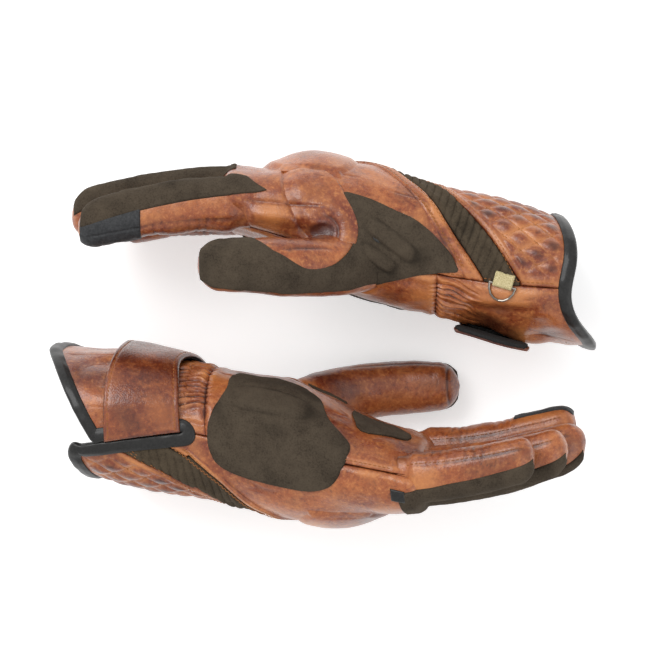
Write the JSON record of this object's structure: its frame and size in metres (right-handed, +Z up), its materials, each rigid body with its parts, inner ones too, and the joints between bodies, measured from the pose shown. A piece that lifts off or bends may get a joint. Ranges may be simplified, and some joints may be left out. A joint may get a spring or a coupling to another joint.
{
  "type": "pair of riding gloves",
  "caption": "Pair of short-gauntlet leather riding gloves with a pleated stretch band, slit cuff with wrap strap, knuckle guard, suede palm patches and a hanging ring.",
  "frame": {"origin": "middle of the pair's box, on the surface that the pair lies on", "axes": "+Z up from the surface; +X and +Y in the surface: both gloves lie along X, the right glove with its fingertips towards -X and at +Y, the left glove with its fingertips towards +X and at -Y"},
  "size_m": [0.3028, 0.2088, 0.125],
  "materials": {
    "tan_leather": "burnished satin",
    "brown_suede": "suede nap",
    "black_suede": "suede nap",
    "black_binding": "woven, matte",
    "lining": "knit, matte",
    "moulded_plastic": "matte",
    "gel": "soft matte",
    "khaki_tape": "woven, matte",
    "black_tag": "woven, matte",
    "hook_tape": "hook pile",
    "loop_tape": "loop pile",
    "steel": "bright"
  },
  "bodies": {
    "right_hand": {"right_accordion_panel": "brown_suede", "right_back_panel": "tan_leather", "right_cuff_palm_panel": "tan_leather", "right_cuff_quilt_panel": "tan_leather", "right_edge_binding": "black_binding", "right_hand_lining": "lining", "right_knuckle_cover": "tan_leather", "right_knuckle_guard": "moulded_plastic", "right_palm_gel_pads": "gel", "right_palm_panel": "tan_leather", "right_palm_suede": "brown_suede", "right_ring_tape": "khaki_tape", "right_side_tag": "black_tag", "right_strap_loop_pad": "loop_tape", "right_thumb_base": "tan_leather", "right_thumb_gusset": "tan_leather"},
    "right_index": {"right_index_stall": "tan_leather", "right_index_suede_back": "brown_suede", "right_touch_patch": "black_suede"},
    "right_middle": {"right_middle_stall": "tan_leather", "right_middle_suede_back": "brown_suede"},
    "right_ring": {"right_ring_stall": "tan_leather", "right_ring_suede_back": "brown_suede"},
    "right_little": {"right_little_stall": "tan_leather", "right_little_suede_back": "brown_suede"},
    "right_thumb": {"right_thumb_stall": "tan_leather", "right_thumb_suede": "brown_suede"},
    "right_strap": {"right_strap_leather": "tan_leather", "right_strap_hook_pad": "hook_tape"},
    "right_d_ring": {"right_d_ring": "steel"},
    "left_hand": {"left_accordion_panel": "brown_suede", "left_back_panel": "tan_leather", "left_cuff_palm_panel": "tan_leather", "left_cuff_quilt_panel": "tan_leather", "left_edge_binding": "black_binding", "left_hand_lining": "lining", "left_knuckle_cover": "tan_leather", "left_knuckle_guard": "moulded_plastic", "left_palm_gel_pads": "gel", "left_palm_panel": "tan_leather", "left_palm_suede": "brown_suede", "left_ring_tape": "khaki_tape", "left_side_tag": "black_tag", "left_strap_loop_pad": "loop_tape", "left_thumb_base": "tan_leather", "left_thumb_gusset": "tan_leather"},
    "left_index": {"left_index_stall": "tan_leather", "left_index_suede_back": "brown_suede", "left_touch_patch": "black_suede"},
    "left_middle": {"left_middle_stall": "tan_leather", "left_middle_suede_back": "brown_suede"},
    "left_ring": {"left_ring_stall": "tan_leather", "left_ring_suede_back": "brown_suede"},
    "left_little": {"left_little_stall": "tan_leather", "left_little_suede_back": "brown_suede"},
    "left_thumb": {"left_thumb_stall": "tan_leather", "left_thumb_suede": "brown_suede"},
    "left_strap": {"left_strap_leather": "tan_leather", "left_strap_hook_pad": "hook_tape"},
    "left_d_ring": {"left_d_ring": "steel"}
  },
  "joints": [
    {"name": "right_index_flex", "type": "hinge", "parent": "right_hand", "child": "right_index", "pos_m": [-0.04656, 0.05754, 0.08227], "axis": [0, 0, 1], "range_deg": [0, 20]},
    {"name": "right_middle_flex", "type": "hinge", "parent": "right_hand", "child": "right_middle", "pos_m": [-0.04656, 0.06329, 0.05967], "axis": [0, 0, 1], "range_deg": [0, 20]},
    {"name": "right_ring_flex", "type": "hinge", "parent": "right_hand", "child": "right_ring", "pos_m": [-0.04656, 0.06179, 0.03707], "axis": [0, 0, 1], "range_deg": [0, 20]},
    {"name": "right_little_flex", "type": "hinge", "parent": "right_hand", "child": "right_little", "pos_m": [-0.04656, 0.05829, 0.01447], "axis": [0, 0, 1], "range_deg": [0, 20]},
    {"name": "right_thumb_flex", "type": "hinge", "parent": "right_hand", "child": "right_thumb", "pos_m": [-0.01326, 0.02219, 0.10237], "axis": [0, 0, 1], "range_deg": [0, 35]},
    {"name": "right_strap_peel", "type": "hinge", "parent": "right_hand", "child": "right_strap", "pos_m": [0.09959, 0.03219, 0.00443], "axis": [0.9834, 0.0662, -0.1687], "range_deg": [0, 30]},
    {"name": "right_ring_swing", "type": "hinge", "parent": "right_hand", "child": "right_d_ring", "pos_m": [0.09713, 0.02845, 0.09052], "axis": [-0.9427, 0.2869, -0.1704], "range_deg": [0, 150]},
    {"name": "left_index_flex", "type": "hinge", "parent": "left_hand", "child": "left_index", "pos_m": [0.05634, -0.05058, 0.04043], "axis": [-0.1527, -0.1314, 0.9795], "range_deg": [0, 20]},
    {"name": "left_middle_flex", "type": "hinge", "parent": "left_hand", "child": "left_middle", "pos_m": [0.05335, -0.05924, 0.06187], "axis": [-0.1527, -0.1314, 0.9795], "range_deg": [0, 20]},
    {"name": "left_ring_flex", "type": "hinge", "parent": "left_hand", "child": "left_ring", "pos_m": [0.04978, -0.06072, 0.08419], "axis": [-0.1527, -0.1314, 0.9795], "range_deg": [0, 20]},
    {"name": "left_little_flex", "type": "hinge", "parent": "left_hand", "child": "left_little", "pos_m": [0.04605, -0.06023, 0.10675], "axis": [-0.1527, -0.1314, 0.9795], "range_deg": [0, 20]},
    {"name": "left_thumb_flex", "type": "hinge", "parent": "left_hand", "child": "left_thumb", "pos_m": [0.02377, -0.01496, 0.01961], "axis": [-0.1527, -0.1314, 0.9795], "range_deg": [0, 35]},
    {"name": "left_strap_peel", "type": "hinge", "parent": "left_hand", "child": "left_strap", "pos_m": [-0.10154, -0.04453, 0.0961], "axis": [0.9891, 0.147, 0.0016], "range_deg": [0, 30]},
    {"name": "left_ring_swing", "type": "hinge", "parent": "left_hand", "child": "left_d_ring", "pos_m": [-0.08626, -0.02936, 0.01262], "axis": [-0.9256, 0.2495, -0.2847], "range_deg": [0, 150]},
    {"name": "left_apart", "type": "slide", "parent": "right_hand", "child": "left_hand", "axis": [0, 0, 1], "range_m": [0, 0.2]}
  ]
}
